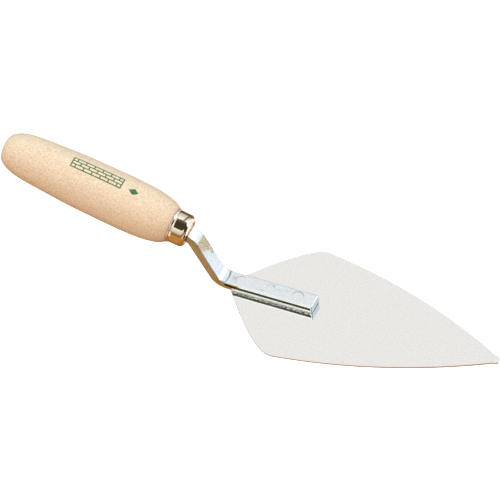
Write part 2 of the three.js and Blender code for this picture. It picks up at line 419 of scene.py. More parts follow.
def stations():
    """Stops along the bar from the front of the foot: centre line point, direction of the bar's upper
    side, and the bar's size there as half width, half height and edge radius."""
    full = (BAR_HALF_WIDTH, HALF_THICKNESS, BAR_EDGE_RADIUS)
    stops = []
    level = FOOT_TOP - HALF_THICKNESS
    for i in range(FOOT_END_STEPS):
        angle = UP * i / FOOT_END_STEPS
        inset = FOOT_END_ROUNDING * (1 - math.sin(angle))
        x = FOOT_END_X - FOOT_END_ROUNDING * (1 - math.cos(angle))
        stops.append((Vector((x, level)), UP, tuple(size - inset for size in full)))
    foot_front = FOOT_END_X - FOOT_END_ROUNDING
    for i in range(FOOT_STEPS):
        x = foot_front + (LOWER_BEND_X - foot_front) * i / FOOT_STEPS
        stops.append((Vector((x, level)), UP, full))
    for i in range(LOWER_BEND_STEPS):
        angle = UP + (INCLINE_NORMAL - UP) * i / LOWER_BEND_STEPS
        stops.append((polar(LOWER_CENTRE, -LOWER_BEND_RADIUS - HALF_THICKNESS, angle), angle, full))
    start = polar(INCLINE_START, -HALF_THICKNESS, INCLINE_NORMAL)
    for i in range(INCLINE_STEPS):
        place = polar(start, INCLINE_LENGTH * i / INCLINE_STEPS, UPHILL)
        stops.append((place, INCLINE_NORMAL, full))
    for i in range(UPPER_BEND_STEPS):
        angle = INCLINE_NORMAL + (HANDLE_NORMAL - INCLINE_NORMAL) * i / UPPER_BEND_STEPS
        stops.append((polar(UPPER_CENTRE, UPPER_BEND_RADIUS + HALF_THICKNESS, angle), angle, full))
    neck = NECK_LENGTH - TENON_LENGTH - GAP
    for distance in (0, neck / 3, neck * 2 / 3, neck - SHOULDER_EDGE):
        stops.append((polar(NECK_START, distance, TO_BUTT), HANDLE_NORMAL, full))
    neck_end = polar(NECK_START, neck, TO_BUTT)
    stops.append((neck_end, HANDLE_NORMAL, tuple(size - SHOULDER_EDGE for size in full)))
    tang_front = TANG_ROOT_SIDE / 2
    tang_end = TANG_END_SIDE / 2
    stops.append((neck_end, HANDLE_NORMAL, (tang_front, tang_front, TANG_EDGE)))
    tip = polar(HANDLE_FRONT, TANG_LENGTH, TO_BUTT)
    stops.append((tip, HANDLE_NORMAL, (tang_end, tang_end, TANG_EDGE)))
    return stops


def crease_line(y):
    """How far along the bar the crease of the lower bend lies, across its width."""
    return CREASE_X + CREASE_BOW * (1 - (y / BAR_HALF_WIDTH) ** 2)


def smooth_step(value, low, high):
    """Climbs smoothly from 0 at low to 1 at high."""
    share = min(1.0, max(0.0, (value - low) / (high - low)))
    return share * share * (3 - 2 * share)


def swell(place):
    """How far the incline's upper face stands out at a distance up the incline."""
    rise = smooth_step(place, -SWELL_FADE, -SWELL_FADE / 10)
    fall = smooth_step(place, INCLINE_LENGTH, INCLINE_LENGTH + SWELL_FADE)
    return SWELL_HEIGHT * rise * (1 - fall) * math.tanh((place - SWELL_MIDDLE) / SWELL_LENGTH)


def rings_at(x, y, uneven):
    """For each weld's ring print: the distance from its middle, its radius and its strength there."""
    for centre, radius, share, turn in zip(WELD_X, RING_RADIUS, RING_SHARE, RING_TURN):
        around = 1 - uneven + uneven * math.cos(math.atan2(y, x - centre) - turn)
        yield math.hypot(x - centre, y), radius, share, max(0.0, around)


def relief(x, y):
    """How far the foot's upper face is pressed in at a point, in millimetres."""
    depth = CREASE_DEPTH * bump_at(x, crease_line(y), CREASE_WIDTH)
    for distance, radius, share, around in rings_at(x, y, RING_UNEVEN):
        depth += RING_DEPTH * share * around * bump_at(distance, radius, RING_WIDTH)
        depth += RING_DISH * share * max(0, 1 - (distance / radius) ** 2)
    return depth


def dirt(x, y):
    """How dark the foot's upper face is at a point, from 0 to 1."""
    amount = CREASE_DARKENING * bump_at(x, crease_line(y), CREASE_DARKENING_SPREAD * CREASE_WIDTH)
    for distance, radius, share, around in rings_at(x, y, RING_DIRT_UNEVEN):
        amount += RING_DIRT * share * around * bump_at(distance, radius, RING_DIRT_SPREAD * RING_WIDTH)
    for spot_x, spot_y, length, width, share in SMUDGES:
        amount += share * bump_at(x, spot_x, length) * bump_at(y, spot_y, width)
    return min(1.0, amount)


def on_marked_stretch(x, z):
    """Whether a point of the upper face lies on the foot or in the lower bend."""
    return x > MARKS_START_X and z < FOOT_TOP + HALF_THICKNESS


def make_shank():
    """The bar: its section carried along the centre line, with the marks of bending and welding."""
    rings = []
    bend_middle = polar(LOWER_CENTRE, -LOWER_BEND_RADIUS, (UP + INCLINE_NORMAL) / 2)
    uphill = polar(Vector((0, 0)), 1, UPHILL)
    for centre, normal, (half_width, half_height, radius) in stations():
        ring = []
        bulge = BEND_BULGE * bump_at((centre - bend_middle).length, 0, BULGE_LENGTH)
        for across, up in rounded_section(half_width, half_height, radius):
            share = up / half_height
            y = across * (1 + bulge * (1 - BULGE_LEAN + BULGE_LEAN * share) / half_width)
            level = polar(centre, up, normal)
            if up > half_height - TOP_SKIN and on_marked_stretch(level.x, level.y):
                level = polar(level, -relief(level.x, y), normal)
            if up > 0:
                level = polar(level, share * swell((centre - INCLINE_START).dot(uphill)), normal)
            ring.append(placed(level.x, y, level.y))
        rings.append(ring)
    shank = mesh_piece("shank_bar", *skin(rings))
    pocket_roof = BLADE_THICKNESS + WELD_HALF_HEIGHT
    for x in WELD_X:
        carve(shank, *disc(x, WELD_RADIUS + GAP, BLADE_THICKNESS - CUT_BEYOND, pocket_roof))
    return shank


# ---------------------------------------------------------------- handle and ferrule


def handle_matrix():
    """The turned pieces' own axes: X up and square to the handle, Y to the butt, Z to the near side."""
    up = Vector((math.cos(HANDLE_NORMAL), 0, math.sin(HANDLE_NORMAL)))
    to_butt = Vector((-math.cos(HANDLE_TILT), 0, math.sin(HANDLE_TILT)))
    across = up.cross(to_butt)
    matrix = Matrix((up, to_butt, across)).transposed().to_4x4()
    matrix.translation = placed(HANDLE_FRONT.x, 0, HANDLE_FRONT.y)
    return matrix


def turned(name, profile, sides):
    """A turned piece about the handle's axis. Its profile starts and ends on the axis, and its points
    are (distance from the axis, distance from the handle's front shoulder towards the butt)."""
    matrix = handle_matrix()
    count = len(profile)
    points = []
    faces = []
    for i in range(sides):
        angle = 2 * math.pi * i / sides
        for point in profile:
            local = Vector((point.x * math.cos(angle), point.y, point.x * math.sin(angle)))
            points.append(matrix @ (local * MM))
        here = i * count
        there = (i + 1) % sides * count
        for k in range(count - 1):
            faces.append((here + k, here + k + 1, there + k + 1, there + k))
    return mesh_piece(name, points, faces)


def handle_profile():
    """Round the handle's section: the bore, the tenon, the front shoulder and the outside."""
    outside = spline([Vector(p) for p in (
        (11.5, 0.4), (13.3, 3.3), (14.7, 8), (16, 16), (HANDLE_RADIUS, 28), (HANDLE_RADIUS, 45),
        (16.2, 65), (15.09, 86), (14.09, 98.5), (12.59, 106), (10.5, 110.75), (8, 113.55),
        (4, 114.85), (0, HANDLE_LENGTH))], HANDLE_STEPS)
    return [
        Vector((0, BORE_DEPTH)),
        Vector((TANG_END_SIDE / math.sqrt(2) + GAP, BORE_DEPTH)),
        Vector((TANG_ROOT_SIDE / math.sqrt(2) + GAP, -TENON_LENGTH)),
        Vector((TENON_RADIUS, -TENON_LENGTH)),
        Vector((TENON_RADIUS, 0)),
        Vector((FERRULE_BACK_RADIUS, 0)),
    ] + outside


# the neck in front of the ferrule's lip: how deep it is, and how far before the lip's middle
FERRULE_GROOVE = ((0.18, 1.15), (0.36, 0.86), (0.3, 0.66))


def ferrule_profile():
    """Round the ferrule's section: nose, side, groove and lip outside, then back along the inside."""
    nose = Vector((FERRULE_FRONT_RADIUS - FERRULE_NOSE_RADIUS, FERRULE_NOSE_RADIUS - FERRULE_LENGTH))
    lip = Vector((FERRULE_BACK_RADIUS, -LIP_GAP - FERRULE_LIP_RADIUS))
    inner = FERRULE_FRONT_RADIUS - FERRULE_WALL
    profile = [Vector((0, -FERRULE_LENGTH)), Vector((nose.x / 2, -FERRULE_LENGTH))]
    profile += arc(nose, FERRULE_NOSE_RADIUS, -UP, 0, NOSE_STEPS)
    groove = [Vector((FERRULE_BACK_RADIUS - depth, lip.y - before)) for depth, before in FERRULE_GROOVE]
    nose_end = profile[-1]
    profile += [nose_end.lerp(groove[0], i / FERRULE_STEPS) for i in range(1, FERRULE_STEPS)]
    profile += groove
    profile += arc(lip, FERRULE_LIP_RADIUS, -UP, UP, LIP_STEPS)
    profile.append(Vector((inner, -LIP_GAP)))
    profile += arc(nose, FERRULE_NOSE_RADIUS - FERRULE_WALL, 0, -UP, NOSE_INSIDE_STEPS)
    profile.append(Vector((0, FERRULE_WALL - FERRULE_LENGTH)))
    return profile


def bend_height(surface_radius, distance):
    """How high a surface of the upper bend lies from the handle's axis, at a distance into the bend."""
    return math.sqrt(surface_radius ** 2 - distance ** 2) - (UPPER_BEND_RADIUS + HALF_THICKNESS)


def slot_reach():
    """Lower and upper end of the slot that the bar passes through, from the handle's axis."""
    outer_face = FERRULE_LENGTH - NECK_LENGTH
    inner_face = outer_face - FERRULE_WALL
    return (bend_height(UPPER_BEND_RADIUS, outer_face) - SLOT_CLEARANCE,
            bend_height(UPPER_BEND_RADIUS + BAR_THICKNESS, inner_face) + SLOT_CLEARANCE)


def make_ferrule():
    """The cup, with a slot through its nose for the bar."""
    ferrule = turned("ferrule_cup", ferrule_profile(), FERRULE_SIDES)
    bottom, top = slot_reach()
    middle = (top + bottom) / 2
    matrix = handle_matrix()
    rings = []
    for y in (-FERRULE_LENGTH - FERRULE_WALL, 2 * FERRULE_WALL - FERRULE_LENGTH):
        ring = []
        for across, up in slot_section((top - bottom) / 2, BAR_HALF_WIDTH + SLOT_CLEARANCE):
            ring.append(matrix @ (Vector((middle + up, y, across)) * MM))
        rings.append(ring)
    carve(ferrule, *skin(rings))
    return ferrule


def slot_section(half_height, half_width):
    """Points round the slot, as (across, up)."""
    radius = BAR_EDGE_RADIUS
    points = []
    for corner, start in (((1, 1), 0), ((-1, 1), 1), ((-1, -1), 2), ((1, -1), 3)):
        centre = Vector((corner[0] * (half_width - radius), corner[1] * (half_height - radius)))
        points += arc(centre, radius, start * UP, (start + 1) * UP, SLOT_CORNER_STEPS)
    return points


# ---------------------------------------------------------------- welds


WELD_FILL = 0.955               # share of the CAD node's radius that the nugget takes, without ripples
WELD_FLATNESS = 0.98            # share of its height
WELD_FULLNESS = 0.4             # the smaller, the steeper the rim


def make_weld(name, x):
    """A nugget of fused steel: a flat lens with an uneven rim, inside the space of its CAD node."""
    rings = []
    for i in range(1, WELD_STEPS):
        angle = math.pi * i / WELD_STEPS
        height = BLADE_THICKNESS - WELD_HALF_HEIGHT * math.cos(angle) * WELD_FLATNESS
        ring = []
        for k in range(WELD_SIDES):
            turn = 2 * math.pi * k / WELD_SIDES
            ripple = 0.02 * math.sin(3 * turn + x) + 0.015 * math.sin(7 * turn + 2 * x)
            radius = WELD_RADIUS * (WELD_FILL + ripple) * math.sin(angle) ** WELD_FULLNESS
            ring.append(placed(x + radius * math.cos(turn), radius * math.sin(turn), height))
        rings.append(ring)
    return mesh_piece(name + "_nugget", *skin(rings))


# ---------------------------------------------------------------- own coordinates for the materials

OWN_PLACE = "own_place"
GRIME = "grime"


def mark_places(piece, matrix):
    """Stores each point's place in the piece's own frame, in millimetres, for the materials."""
    back = matrix.inverted()
    places = []
    for vertex in piece.data.vertices:
        places.extend((back @ vertex.co) / MM)
    attribute = piece.data.attributes.new(OWN_PLACE, "FLOAT_VECTOR", "POINT")
    attribute.data.foreach_set("vector", places)


def mark_grime(piece):
    """Stores how dark each point of the bar is made, from 0 to 1: in the crease and the electrode prints,
    on the foot's smudges, and at the stains on the incline and the neck."""
    amounts = []
    for vertex in piece.data.vertices:
        drawn = (vertex.co - HEEL) / MM
        amount = sum(share * bump_at((drawn - spot).length, 0, size) for spot, size, share in STAINS)
        if drawn.z > FOOT_TOP - BAR_EDGE_RADIUS and on_marked_stretch(drawn.x, drawn.z):
            amount += dirt(drawn.x, drawn.y)
        amounts.append(amount)
    attribute = piece.data.attributes.new(GRIME, "FLOAT", "POINT")
    attribute.data.foreach_set("value", amounts)


# ---------------------------------------------------------------- materials


class NodeTree:
    """Short ways to add nodes to a node tree."""

    def __init__(self, tree):
        self.tree = tree

    def add(self, kind, inputs, output=0, **settings):
        """A new node's output. Each input is a number, a vector, a colour or another node's output."""
        node = self.tree.nodes.new(kind)
        for name, value in settings.items():
            setattr(node, name, value)
        for name, value in inputs.items():
            if isinstance(value, bpy.types.NodeSocket):
                self.tree.links.new(value, node.inputs[name])
            else:
                node.inputs[name].default_value = value
        return node.outputs[output]

    def math(self, operation, *values):
        return self.add("ShaderNodeMath", dict(enumerate(values)), operation=operation)

    def product(self, first, *others):
        for value in others:
            first = self.math("MULTIPLY", first, value)
        return first

    def total(self, first, *others):
        for value in others:
            first = self.math("ADD", first, value)
        return first

    def split(self, vector):
        node = self.tree.nodes.new("ShaderNodeSeparateXYZ")
        self.tree.links.new(vector, node.inputs[0])
        return node.outputs[:]

    def ramp(self, value, low, high, to_low=0.0, to_high=1.0, kind="SMOOTHSTEP"):
        """Goes from one number to another as the value goes from low to high."""
        inputs = {0: value, 1: low, 2: high, 3: to_low, 4: to_high}
        return self.add("ShaderNodeMapRange", inputs, interpolation_type=kind)

    def window(self, value, low, high, soft):
        """1 while the value is between low and high, with soft ends."""
        rise = self.ramp(value, low - soft, low + soft)
        fall = self.ramp(value, high - soft, high + soft, 1.0, 0.0)
        return self.product(rise, fall)

    def mix(self, factor, first, second):
        """Two colours mixed: the first where the factor is 0 and the second where it is 1."""
        inputs = {0: factor}
        for socket, colour in ((6, first), (7, second)):
            inputs[socket] = (*colour, 1) if isinstance(colour, tuple) else colour
        return self.add("ShaderNodeMix", inputs, 2, data_type="RGBA")


class Recipe(NodeTree):
    """A new material and short ways to fill it. Places are in millimetres, in the piece's own frame."""

    def __init__(self, name):
        self.material = bpy.data.materials.new(name)
        self.material.use_nodes = True
        super().__init__(self.material.node_tree)
        self.shader = self.tree.nodes["Principled BSDF"]

    def set(self, **values):
        for name, value in values.items():
            socket = self.shader.inputs[name.replace("_", " ")]
            socket.default_value = (*value, 1) if isinstance(value, tuple) else value

    def feed(self, **sockets):
        for name, socket in sockets.items():
            self.tree.links.new(socket, self.shader.inputs[name.replace("_", " ")])

    def place(self):
        return self.add("ShaderNodeAttribute", {}, "Vector", attribute_name=OWN_PLACE)

    def grime(self):
        return self.add("ShaderNodeAttribute", {}, "Fac", attribute_name=GRIME)

    def distance_along(self, place, axis, start):
        """How far a place lies past the start along an axis."""
        reach = self.add("ShaderNodeVectorMath", {0: place, 1: axis}, "Value", operation="DOT_PRODUCT")
        return self.math("SUBTRACT", reach, start)

    def noise(self, vector, scale, detail=2.0, roughness=0.5):
        inputs = {"Vector": vector, "Scale": scale, "Detail": detail, "Roughness": roughness}
        return self.add("ShaderNodeTexNoise", inputs, "Fac")

    def streaks(self, place, stretch, detail=2.0, roughness=0.5, scale=1):
        """Noise with its own scale along each of the piece's axes."""
        vector = self.add("ShaderNodeVectorMath", {0: place, 1: stretch}, operation="MULTIPLY")
        return self.noise(vector, scale, detail, roughness)

    def bump(self, height, distance, strength=1.0, normal=None):
        """Distance is in metres."""
        inputs = {"Height": height, "Distance": distance, "Strength": strength}
        if normal is not None:
            inputs["Normal"] = normal
        return self.add("ShaderNodeBump", inputs, "Normal")


STEEL_DARK = (0.800, 0.782, 0.762)
STEEL_LIGHT = (0.915, 0.898, 0.874)
STEEL_PINK = (0.90, 0.84, 0.80)
STEEL_GREEN = (0.82, 0.85, 0.83)
STEEL_CLOUD = (0.85, 0.82, 0.79)
SCRATCH_COLOUR = (0.70, 0.68, 0.66)
SIDE_REFLECTION_NEAR = 0.4                # painted dark reflection of the foot's sides in the blade: how far from the foot's sides it starts and ends
SIDE_REFLECTION_FAR = 1.7                 # and end
SIDE_REFLECTION_COLOUR = (0.085, 0.115, 0.12)


def painted_side_reflection(steel, place):
    """How strongly the blade's upper face beside the foot carries the painted dark reflection of the
    foot's sides, from 0 to 1.
    """
    along, across, height = steel.split(place)
    aside = steel.math("ABSOLUTE", across)
    aside = steel.window(aside, BAR_HALF_WIDTH + SIDE_REFLECTION_NEAR, BAR_HALF_WIDTH + SIDE_REFLECTION_FAR, 0.12)
    beside = steel.window(along, 0.6, FOOT_END_X - 0.8, 0.4)
    patches = steel.ramp(steel.streaks(place, (0.5, 1.1, 1), 3, 0.6), 0.44, 0.55, 0.15, 1)
    upper = steel.ramp(height, BLADE_THICKNESS / 2, BLADE_THICKNESS * 0.9)
    return steel.product(aside, beside, patches, upper)


def make_steel():
    """Ground and polished blade steel: cross grinding, a little mottling, a few thin scratches, and a
    painted dark reflection of the foot's sides beside the foot.
    """
    steel = Recipe("blade_steel")
    place = steel.place()
    cloud = steel.noise(place, 0.09, 4, 0.6)
    grain = steel.noise(place, 1.15, 3, 0.75)
    tint = steel.noise(place, 0.9, 2, 0.6)
    marks = steel.streaks(place, (3.4, 0.10, 1), 1, 0.4, scale=0.7)
    lines = steel.streaks(place, (5, 0.12, 1), 3, 0.6)
    # painted reflection: the foot's sides seen dark in the blade beside the foot
    side_reflection = painted_side_reflection(steel, place)
    colour = steel.mix(steel.ramp(grain, 0.35, 0.65), STEEL_DARK, STEEL_LIGHT)
    colour = steel.mix(steel.ramp(tint, 0.5, 0.72, 0, 0.6), colour, STEEL_PINK)
    colour = steel.mix(steel.ramp(tint, 0.5, 0.28, 0, 0.6), colour, STEEL_GREEN)
    colour = steel.mix(steel.ramp(cloud, 0.35, 0.75, 0, 0.3), colour, STEEL_CLOUD)
    colour = steel.mix(steel.ramp(marks, 0.74, 0.78, 0, 0.25), colour, SCRATCH_COLOUR)
    colour = steel.mix(side_reflection, colour, SIDE_REFLECTION_COLOUR)
    rough = steel.total(
        steel.ramp(cloud, 0.3, 0.7, 0.07, 0.12),
        steel.ramp(grain, 0.4, 0.8, 0, 0.04),
        steel.product(side_reflection, 0.2),
    )
    steel.set(Metallic=1.0)
    steel.feed(Base_Color=colour, Roughness=rough)
    steel.feed(Normal=steel.bump(grain, 0.000004, normal=steel.bump(lines, 0.0000015)))
    return steel.material


REFLECTION_BAND_LOW = 3.15                 # a painted dark reflection along the middle of the foot's sides
REFLECTION_BAND_HIGH = 5.42
REFLECTION_BAND_BACK = -3.9
REFLECTION_BAND_RISE = 0.8                 # it climbs a little where the bend starts
REFLECTION_BAND_COLOUR = (0.026, 0.038, 0.008)
FRONT_COLOUR = (0.56, 0.69, 0.76)
WHITE_REFLECTION_COLOUR = (1.0, 1.0, 1.0)  # a painted white reflection on the foot's sides below the dark band
# painted shade of the gap between the foot's front face and the blade: its height and colour
GAP_SHADE_HEIGHT = 0.55
GAP_SHADE_COLOUR = (0.05, 0.08, 0.085)


def foot_shades(zinc, place):
    """Where the foot's sides have their painted white reflection, and the masks and colours of the whole
    foot: that white reflection, the painted dark reflection above it, the cut front face and the painted
    shade of the gap between that face and the blade."""
    along, across, height = zinc.split(place)
    outside = zinc.ramp(zinc.math("ABSOLUTE", across), BAR_HALF_WIDTH - 1.0, BAR_HALF_WIDTH - 0.6)
    side = zinc.product(outside, zinc.window(along, REFLECTION_BAND_BACK, FOOT_END_X - 0.9, 0.3))
    level = zinc.math("SUBTRACT", height, zinc.ramp(along, REFLECTION_BAND_BACK, REFLECTION_BAND_BACK + 6, REFLECTION_BAND_RISE, 0))
    # a painted dark reflection along the middle of the sides
    reflection_band = zinc.product(side, zinc.window(level, REFLECTION_BAND_LOW, REFLECTION_BAND_HIGH, 0.14))
    below = zinc.ramp(level, REFLECTION_BAND_LOW - 0.1, REFLECTION_BAND_LOW + 0.1, 1, 0)
    # a painted white reflection below it
    white_reflection = zinc.product(side, below, zinc.ramp(along, 0, 1.5))
    front = zinc.ramp(along, FOOT_END_X - 0.2, FOOT_END_X - 0.05)
    # painted shade of the gap between the front face and the blade
    gap_shade_top = BLADE_THICKNESS + GAP_SHADE_HEIGHT
    low = zinc.ramp(height, gap_shade_top - 0.1, gap_shade_top + 0.1, 1, 0)
    gap_shade = zinc.product(zinc.ramp(along, FOOT_END_X - 0.8, FOOT_END_X - 0.5), low)
    shades = (white_reflection, WHITE_REFLECTION_COLOUR), (reflection_band, REFLECTION_BAND_COLOUR), (front, FRONT_COLOUR), (gap_shade, GAP_SHADE_COLOUR)
    return white_reflection, shades


BROWN_REFLECTION_START = 17.4               # a painted brown reflection covers the incline's upper face from here to the neck
BROWN_REFLECTION_SLANT = 0.85
BROWN_REFLECTION_RAGGED = 5                 # how far its lower edge wanders
BROWN_REFLECTION_DARK = (0.385, 0.29, 0.17)
BROWN_REFLECTION_LIGHT = (0.87, 0.755, 0.60)


def paint_brown_reflection(zinc, place):
    """Where the incline's upper face has its painted brown reflection, and that reflection's mottled
    colour.
    """
    uphill = polar(Vector((0, 0)), 1, UPHILL)
    square = polar(Vector((0, 0)), 1, INCLINE_NORMAL)

    def measure(direction, slant=0):
        return zinc.distance_along(place, (direction.x, slant, direction.y), direction.dot(INCLINE_START))

    mottle = zinc.noise(place, 1.5, 4, 0.75)
    ragged = zinc.product(zinc.noise(place, 0.7, 4, 0.7), BROWN_REFLECTION_RAGGED)
    start = zinc.total(measure(uphill, BROWN_REFLECTION_SLANT), zinc.math("SUBTRACT", ragged, BROWN_REFLECTION_RAGGED / 2))
    brown_reflection = zinc.product(
        zinc.ramp(start, BROWN_REFLECTION_START - 1.2, BROWN_REFLECTION_START + 1.2),
        zinc.ramp(measure(uphill), INCLINE_LENGTH - 0.4, INCLINE_LENGTH + 0.6, 1, 0),
        zinc.ramp(measure(square), -0.9, -0.5),
    )
    return brown_reflection, zinc.mix(zinc.ramp(mottle, 0.40, 0.60), BROWN_REFLECTION_DARK, BROWN_REFLECTION_LIGHT)


def ferrule_shade(zinc, place):
    """A thin line of painted shade across the bar where it leaves the ferrule."""
    to_butt = Vector((math.cos(TO_BUTT), 0, math.sin(TO_BUTT)))
    start = to_butt.dot(Vector((HANDLE_FRONT.x, 0, HANDLE_FRONT.y))) - FERRULE_LENGTH
    return zinc.ramp(zinc.distance_along(place, tuple(to_butt), start), -0.75, -0.45)


ZINC_DARK = (0.685, 0.745, 0.77)
ZINC_LIGHT = (0.905, 0.92, 0.92)
ZINC_PATCH = (0.70, 0.765, 0.80)
GRIME_COLOUR = (0.10, 0.19, 0.24)
SIDE_DARK = (0.50, 0.63, 0.77)  # the bar's sides behind the foot: a painted tint that changes the colour of their reflection
SIDE_LIGHT = (0.76, 0.93, 1.0)
# painted shade where the bar leaves the ferrule
FERRULE_SHADE_COLOUR = (0.45, 0.28, 0.14)


def make_zinc():
    """Zinc plating on the bar: bluish white, mottled, duller in patches, darker in its marks, with
    painted reflections and painted shade.
    """
    zinc = Recipe("shank_zinc")
    place = zinc.place()
    along, across, _ = zinc.split(place)
    cloud = zinc.noise(place, 0.32, 4, 0.65)
    fine = zinc.noise(place, 1.3, 3, 0.75)
    mottle = zinc.ramp(fine, 0.36, 0.64)
    grime = zinc.grime()
    colour = zinc.mix(mottle, ZINC_DARK, ZINC_LIGHT)
    colour = zinc.mix(zinc.ramp(cloud, 0.54, 0.74, 0, 0.6), colour, ZINC_PATCH)
    colour = zinc.mix(grime, colour, GRIME_COLOUR)
    # painted reflection tint: the bar's sides behind the foot are coloured bluer than its top
    aside = zinc.math("ABSOLUTE", across)
    side = zinc.ramp(aside, BAR_HALF_WIDTH - 0.35, BAR_HALF_WIDTH - 0.1, 0, 0.85)
    side = zinc.product(side, zinc.ramp(along, -1, 1, 1, 0))
    colour = zinc.mix(side, colour, zinc.mix(mottle, SIDE_DARK, SIDE_LIGHT))
    # painted brown reflection on the incline's upper face
    brown_reflection, brown = paint_brown_reflection(zinc, place)
    colour = zinc.mix(brown_reflection, colour, brown)
    # painted shade line across the bar at the ferrule
    colour = zinc.mix(ferrule_shade(zinc, place), colour, FERRULE_SHADE_COLOUR)
    # the foot's painted white and dark reflections and the painted shade under its front face
    white_reflection, shades = foot_shades(zinc, place)
    for mask, shade in shades:
        colour = zinc.mix(mask, colour, shade)
    rough = zinc.total(
        zinc.ramp(cloud, 0.35, 0.75, 0.07, 0.15),
        zinc.ramp(fine, 0.4, 0.8, 0, 0.06),
        zinc.product(grime, 0.25),
        zinc.product(white_reflection, 0.5),
    )
    zinc.feed(Base_Color=colour, Metallic=zinc.math("SUBTRACT", 1.0, white_reflection), Roughness=rough)
    zinc.feed(Normal=zinc.bump(fine, 0.00003, normal=zinc.bump(cloud, 0.00006)))
    return zinc.material


BRASS_LIGHT = (0.925, 0.84, 0.685)
BRASS_DEEP = (0.915, 0.815, 0.645)
LIP_COLOUR = (0.94, 0.90, 0.83)
GROOVE_COLOUR = (0.45, 0.30, 0.14)
SLOT_SHADE_COLOUR = (0.45, 0.27, 0.12)
DARK_REFLECTION_COLOUR = (0.13, 0.10, 0.07)
DARK_REFLECTION_SPOTS = (                       # painted dark reflection near the top of the ferrule's nose: spots and their darkness
    ((10.3, -6.7, 0.9), 0.7),
    ((10.25, -6.9, -0.1), 0.8),
    ((10.15, -7.2, -1.1), 0.85),
    ((10.0, -7.6, -2.1), 0.9),
    ((9.8, -8.0, -3.1), 0.9),
)


def make_brass():
    """Bright brass plating: thin polishing lines round it, a paler lip with a darker groove in front of
    it, painted shade above the slot and a painted dark reflection near the top of the nose."""
    brass = Recipe("ferrule_brass")
    place = brass.place()
    height, along, _ = brass.split(place)
    lines = brass.streaks(place, (0.05, 5, 0.05), 3, 0.6)
    cloud = brass.noise(place, 0.35, 3, 0.6)
    colour = brass.mix(brass.ramp(cloud, 0.3, 0.7), BRASS_LIGHT, BRASS_DEEP)
    colour = brass.mix(brass.ramp(along, -2.0, -1.2), colour, LIP_COLOUR)
    groove = brass.window(along, -2.3, -1.45, 0.15)
    colour = brass.mix(brass.product(groove, 0.35), colour, GROOVE_COLOUR)
    # painted shade on the nose's face just above the slot, where the bar comes out
    slot_top = slot_reach()[1]
    above_slot = brass.ramp(height, slot_top - 0.3, slot_top)
    front_face = brass.ramp(along, 0.15 - FERRULE_LENGTH, 0.05 - FERRULE_LENGTH)
    colour = brass.mix(brass.product(above_slot, front_face), colour, SLOT_SHADE_COLOUR)
    # painted dark reflection near the top of the nose
    ragged = brass.product(brass.noise(place, 1.6, 3, 0.7), 1.2)
    for spot, share in DARK_REFLECTION_SPOTS:
        distance = brass.add("ShaderNodeVectorMath", {0: place, 1: spot}, "Value", operation="DISTANCE")
        distance = brass.total(distance, ragged)
        colour = brass.mix(brass.ramp(distance, 1.0, 1.6, share, 0), colour, DARK_REFLECTION_COLOUR)
    rough = brass.total(brass.ramp(cloud, 0.3, 0.75, 0.03, 0.08), brass.ramp(lines, 0.4, 0.8, 0, 0.04))
    brass.set(Metallic=1.0)
    brass.feed(Base_Color=colour, Roughness=rough)
    brass.feed(Normal=brass.bump(lines, 0.000002, normal=brass.bump(cloud, 0.00003)))
    return brass.material


PRINT_RADIUS = 16.5
PRINT_START = 36.5              # along the handle from its front shoulder
PRINT_LENGTH = 33.6
PRINT_LOW = -3.5                # round the handle from its top line, towards the near side
PRINT_SOFT = 0.08               # how soft the ink's edges are
COURSES = 3
COURSE_HEIGHT = 2.35
BRICK_LENGTH = 5.6
LINE_WIDTH = 0.8
DIAMOND_ALONG = 28
DIAMOND_ROUND = 1.9
DIAMOND_HALF_LENGTH = 3.4
DIAMOND_HALF_WIDTH = 2.3


def print_mask(wood, place):
    """How much ink there is in a plain printed panel of brick courses and a small diamond."""
    up, along, across = wood.split(place)
    around = wood.product(wood.math("ARCTAN2", across, up), PRINT_RADIUS)
    print_end = PRINT_START + PRINT_LENGTH
    print_high = PRINT_LOW + COURSES * COURSE_HEIGHT
    half = LINE_WIDTH / 2

    def panel(grow):
        lengthways = wood.window(along, PRINT_START - grow, print_end + grow, PRINT_SOFT)
        crossways = wood.window(around, PRINT_LOW - grow, print_high + grow, PRINT_SOFT)
        return wood.product(lengthways, crossways)

    def share_from(value, middle, reach):
        return wood.math("DIVIDE", wood.math("ABSOLUTE", wood.math("SUBTRACT", value, middle)), reach)

    vector = wood.add("ShaderNodeCombineXYZ", {
        0: wood.math("SUBTRACT", along, PRINT_START),
        1: wood.math("SUBTRACT", around, PRINT_LOW),
    })
    joints = wood.add("ShaderNodeTexBrick", {
        "Vector": vector, "Scale": 1, "Mortar Size": half, "Mortar Smooth": 0.1,
        "Brick Width": BRICK_LENGTH, "Row Height": COURSE_HEIGHT,
    }, "Fac")
    outer = panel(half)
    border = wood.math("SUBTRACT", outer, panel(-half))
    courses = wood.math("MAXIMUM", border, wood.product(joints, outer))
    diamond = wood.total(
        share_from(around, DIAMOND_ROUND, DIAMOND_HALF_WIDTH),
        share_from(along, DIAMOND_ALONG, DIAMOND_HALF_LENGTH),
    )
    diamond = wood.ramp(diamond, 0.96, 1.04, 1, 0)
    upper_half = wood.ramp(up, 0, 1)
    return wood.product(wood.math("MAXIMUM", courses, diamond), upper_half)


PITH_UP = -48                   # where the tree's middle lies from the handle's axis
PITH_ACROSS = 31
RING_SPACING = 2.9
RING_DRIFT = 14.0               # how far the growth rings wander
BEECH = (0.675, 0.511, 0.343)
BEECH_PATCH = (0.671, 0.495, 0.324)
BEECH_DARK = (0.546, 0.355, 0.195)
BEECH_LIGHT = (0.772, 0.647, 0.53)
BEECH_BLUSH = (0.686, 0.476, 0.351)
BEECH_FIBRE = (0.80, 0.60, 0.40)
BEECH_LATE = (0.74, 0.53, 0.34)
BEECH_RAY = (0.56, 0.37, 0.22)
INK_COLOUR = (0.028, 0.130, 0.045)


